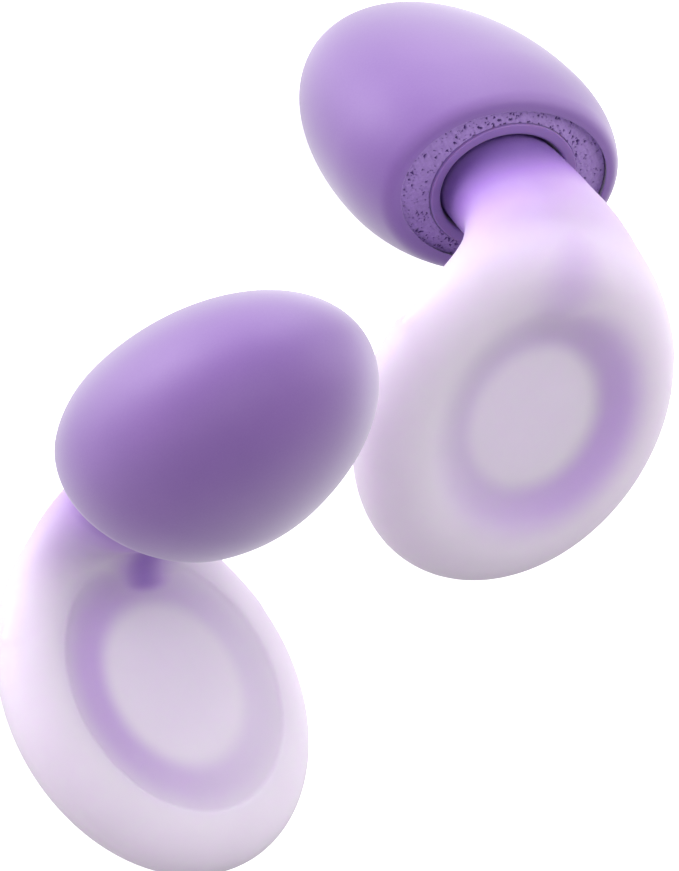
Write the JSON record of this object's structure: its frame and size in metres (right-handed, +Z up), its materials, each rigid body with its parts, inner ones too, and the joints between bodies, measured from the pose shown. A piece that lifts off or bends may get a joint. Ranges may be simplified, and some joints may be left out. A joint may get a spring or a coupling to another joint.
{
  "type": "ear plugs",
  "caption": "Pair of soft ear plugs: a milky round finger disc whose bent neck carries a pull-off oval egg-shaped tip with a foam filling.",
  "frame": {"origin": "on the resting surface, below the middle of the pair's bounding box", "axes": "+Z up; the left plug lies flat on its finger disc with its neck towards +Y; the right plug lies towards +X, tilted on the rim of its disc and the side of its tip"},
  "size_m": [0.0386, 0.0363, 0.0185],
  "materials": {
    "milky_silicone": "satin, milky translucent",
    "core_polymer": "matt",
    "tip_foam": "open-cell foam",
    "tip_silicone": "soft-touch matt",
    "sleeve_silicone": "soft-touch matt"
  },
  "bodies": {
    "left_handle": {"left_handle_skin": "milky_silicone", "left_core_frame": "core_polymer"},
    "right_handle": {"right_handle_skin": "milky_silicone", "right_core_frame": "core_polymer"},
    "left_tip": {"left_tip_skin": "tip_silicone", "left_tip_foam": "tip_foam", "left_tip_sleeve": "sleeve_silicone"},
    "right_tip": {"right_tip_skin": "tip_silicone", "right_tip_foam": "tip_foam", "right_tip_sleeve": "sleeve_silicone"}
  },
  "joints": [
    {"name": "left_tip_pull", "type": "slide", "parent": "left_handle", "child": "left_tip", "axis": [0, 0.1478, 0.989], "range_m": [0, 0.009]},
    {"name": "right_lift", "type": "slide", "parent": "left_handle", "child": "right_handle", "axis": [0, 0, 1], "range_m": [0, 0.03]},
    {"name": "right_tip_pull", "type": "slide", "parent": "right_handle", "child": "right_tip", "axis": [0.1594, 0.7976, -0.5818], "range_m": [0, 0.004]}
  ]
}
